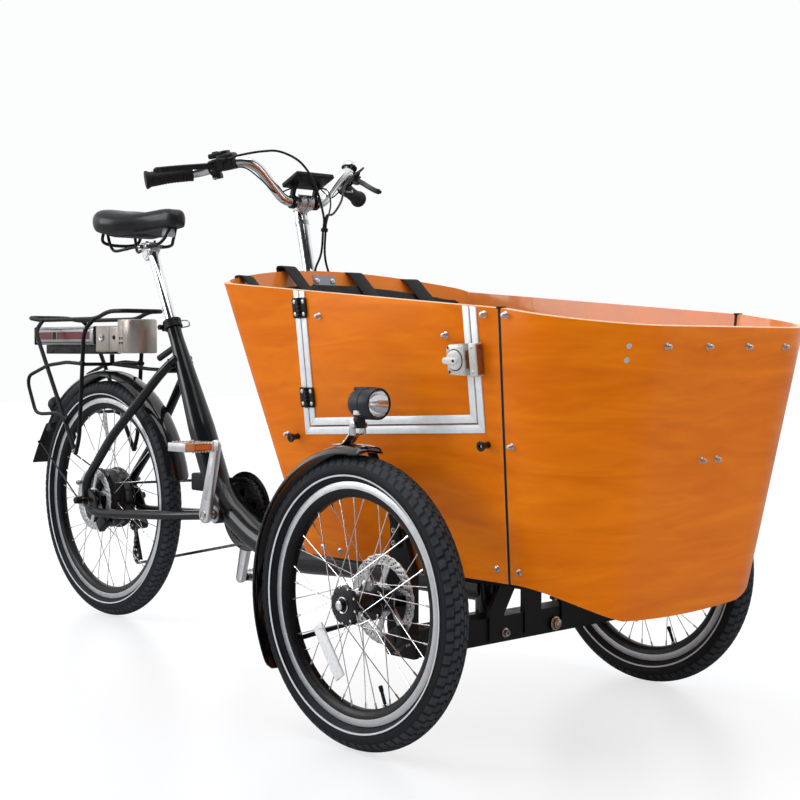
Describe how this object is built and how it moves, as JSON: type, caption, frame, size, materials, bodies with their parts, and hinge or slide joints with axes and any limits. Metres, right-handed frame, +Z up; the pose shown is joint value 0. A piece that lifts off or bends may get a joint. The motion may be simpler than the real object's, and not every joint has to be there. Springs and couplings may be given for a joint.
{
  "type": "electric cargo tricycle",
  "caption": "Electric cargo tricycle: a plywood box between two front wheels steers about a kingpin ahead of a black low-step rear frame with hub motor and rack battery.",
  "frame": {"origin": "on the floor, under the middle of the outer box of the whole tricycle as it stands with the wheels straight", "axes": "+X forward, from the rear wheel to the cargo box; +Y towards the side with the chain, away from the door; +Z up"},
  "size_m": [2.2668, 0.893, 1.1214],
  "materials": {
    "frame_paint": "glossy black paint",
    "black_metal": "satin black powder coat",
    "bright_steel": "bright, fine turned",
    "polished_aluminium": "polished",
    "saddle_cover": "smooth satin black",
    "battery_shell": "silver anodised",
    "tail_lens": "dark red, clear gloss",
    "tyre_rubber": "matt, with a thin pale reflective line",
    "black_plastic": "glossy black",
    "grip_rubber": "matt moulded rubber",
    "plywood": "orange-brown birch plywood, clear gloss varnish",
    "cushion_cloth": "matt black woven cover",
    "webbing": "black webbing",
    "latch_white": "ivory enamel",
    "fender_plastic": "glossy black",
    "lamp_shell": "graphite, satin",
    "cable_jacket": "smooth black"
  },
  "bodies": {
    "frame": {"main_frame": "frame_paint", "seat_clamp": "black_metal", "rear_rack": "black_metal", "battery_dock": "battery_shell", "tail_light": "tail_lens", "rear_fender": "frame_paint", "brake_caliper_rear": "black_metal", "derailleur_body": "black_metal", "derailleur_cage": "black_metal", "chain": "bright_steel"},
    "seat_clamp_lever": {"seat_clamp_lever": "bright_steel"},
    "seat": {"seat_post": "polished_aluminium", "saddle": "saddle_cover"},
    "battery": {"battery": "battery_shell"},
    "wheel_rear": {"tyre_rear": "tyre_rubber", "wheel_rear": "bright_steel", "rotor_rear": "bright_steel"},
    "sprockets": {"rear_sprockets": "bright_steel"},
    "crankset": {"crank_near": "polished_aluminium", "crank_far": "polished_aluminium", "chain_guard": "black_plastic"},
    "pedal_near": {"pedal_near": "polished_aluminium"},
    "pedal_far": {"pedal_far": "polished_aluminium"},
    "front_group": {"front_chassis": "black_metal", "steering_column": "polished_aluminium", "handlebar": "polished_aluminium", "grip_near": "grip_rubber", "grip_far": "grip_rubber", "brake_mount_near": "black_metal", "brake_mount_far": "black_metal", "display": "black_plastic", "box_rear_shell": "plywood", "box_front_shell": "plywood", "box_floor": "plywood", "box_floor_rear": "plywood", "seat_bench": "plywood", "seat_cushion": "cushion_cloth", "back_cushion": "cushion_cloth", "seat_belts": "webbing", "door_hinge_upper": "black_metal", "door_hinge_lower": "black_metal", "latch_keeper": "latch_white", "front_fender_near": "fender_plastic", "front_fender_far": "fender_plastic", "brake_caliper_front_near": "black_metal", "brake_caliper_front_far": "black_metal", "control_cables": "cable_jacket"},
    "wheel_front_near": {"tyre_front_near": "tyre_rubber", "wheel_front_near": "bright_steel", "rotor_front_near": "bright_steel"},
    "wheel_front_far": {"tyre_front_far": "tyre_rubber", "wheel_front_far": "bright_steel", "rotor_front_far": "bright_steel"},
    "door": {"door": "plywood", "latch_body": "latch_white"},
    "latch_knob": {"latch_knob": "latch_white"},
    "headlight": {"headlight": "lamp_shell"},
    "brake_lever_near": {"brake_lever_near": "black_metal"},
    "brake_lever_far": {"brake_lever_far": "black_metal"},
    "bell": {"bell": "polished_aluminium"}
  },
  "joints": [
    {"name": "steering", "type": "hinge", "parent": "frame", "child": "front_group", "pos_m": [0.57893, 0, 0.3005], "axis": [0, 0, 1], "range_deg": [-35, 35]},
    {"name": "wheel_front_near_spin", "type": "hinge", "parent": "front_group", "child": "wheel_front_near", "pos_m": [0.65393, -0.4, 0.2545], "axis": [0, 1, 0], "continuous": true},
    {"name": "wheel_front_far_spin", "type": "hinge", "parent": "front_group", "child": "wheel_front_far", "pos_m": [0.65393, 0.4, 0.2545], "axis": [0, 1, 0], "continuous": true},
    {"name": "wheel_rear_spin", "type": "hinge", "parent": "frame", "child": "wheel_rear", "pos_m": [-0.78157, 0, 0.3045], "axis": [0, 1, 0], "continuous": true},
    {"name": "crank_spin", "type": "hinge", "parent": "frame", "child": "crankset", "pos_m": [-0.27157, 0, 0.305], "axis": [0, 1, 0], "continuous": true},
    {"name": "sprocket_spin", "type": "hinge", "parent": "frame", "child": "sprockets", "pos_m": [-0.78157, 0.0495, 0.3045], "axis": [0, 1, 0], "continuous": true},
    {"name": "pedal_near_spin", "type": "hinge", "parent": "crankset", "child": "pedal_near", "pos_m": [-0.22843, -0.1258, 0.46944], "axis": [0, 1, 0], "continuous": true},
    {"name": "pedal_far_spin", "type": "hinge", "parent": "crankset", "child": "pedal_far", "pos_m": [-0.31471, 0.1373, 0.14056], "axis": [0, 1, 0], "continuous": true},
    {"name": "seat_height", "type": "slide", "parent": "frame", "child": "seat", "axis": [-0.4337, 0, 0.9011], "range_m": [-0.055, 0.1]},
    {"name": "seat_clamp_lever_turn", "type": "hinge", "parent": "frame", "child": "seat_clamp_lever", "pos_m": [-0.52293, 0.0168, 0.74419], "axis": [-0.4337, 0, 0.9011], "range_deg": [0, 120]},
    {"name": "battery_slide", "type": "slide", "parent": "frame", "child": "battery", "axis": [-1, 0, 0], "range_m": [0, 0.3]},
    {"name": "door_swing", "type": "hinge", "parent": "front_group", "child": "door", "pos_m": [0.41843, -0.34132, 0.76643], "axis": [0, 0.1096, -0.994], "range_deg": [0, 10]},
    {"name": "latch_turn", "type": "hinge", "parent": "door", "child": "latch_knob", "pos_m": [0.82943, -0.34446, 0.67247], "axis": [0, -0.994, -0.1093], "range_deg": [0, 90]},
    {"name": "headlight_tilt", "type": "hinge", "parent": "front_group", "child": "headlight", "pos_m": [0.65543, -0.4, 0.56], "axis": [0, 1, 0], "range_deg": [-15, 25]},
    {"name": "brake_lever_near_pull", "type": "hinge", "parent": "front_group", "child": "brake_lever_near", "pos_m": [-0.04376, -0.20578, 1.08006], "axis": [0, 0.1961, -0.9806], "range_deg": [0, 10], "stiffness_Nm_per_rad": 0.8, "springref_deg": -8.59},
    {"name": "brake_lever_far_pull", "type": "hinge", "parent": "front_group", "child": "brake_lever_far", "pos_m": [-0.04376, 0.20578, 1.08006], "axis": [0, 0.1961, 0.9806], "range_deg": [0, 10], "stiffness_Nm_per_rad": 0.8, "springref_deg": -8.59},
    {"name": "bell_twist", "type": "hinge", "parent": "front_group", "child": "bell", "pos_m": [-0.02059, 0.16282, 1.10161], "axis": [-0.17, 0.136, 0.976], "range_deg": [-30, 30], "stiffness_Nm_per_rad": 0.05}
  ],
  "couplings": [
    {"joint": "sprocket_spin", "follows": "crank_spin", "ratio": 2.2113}
  ]
}
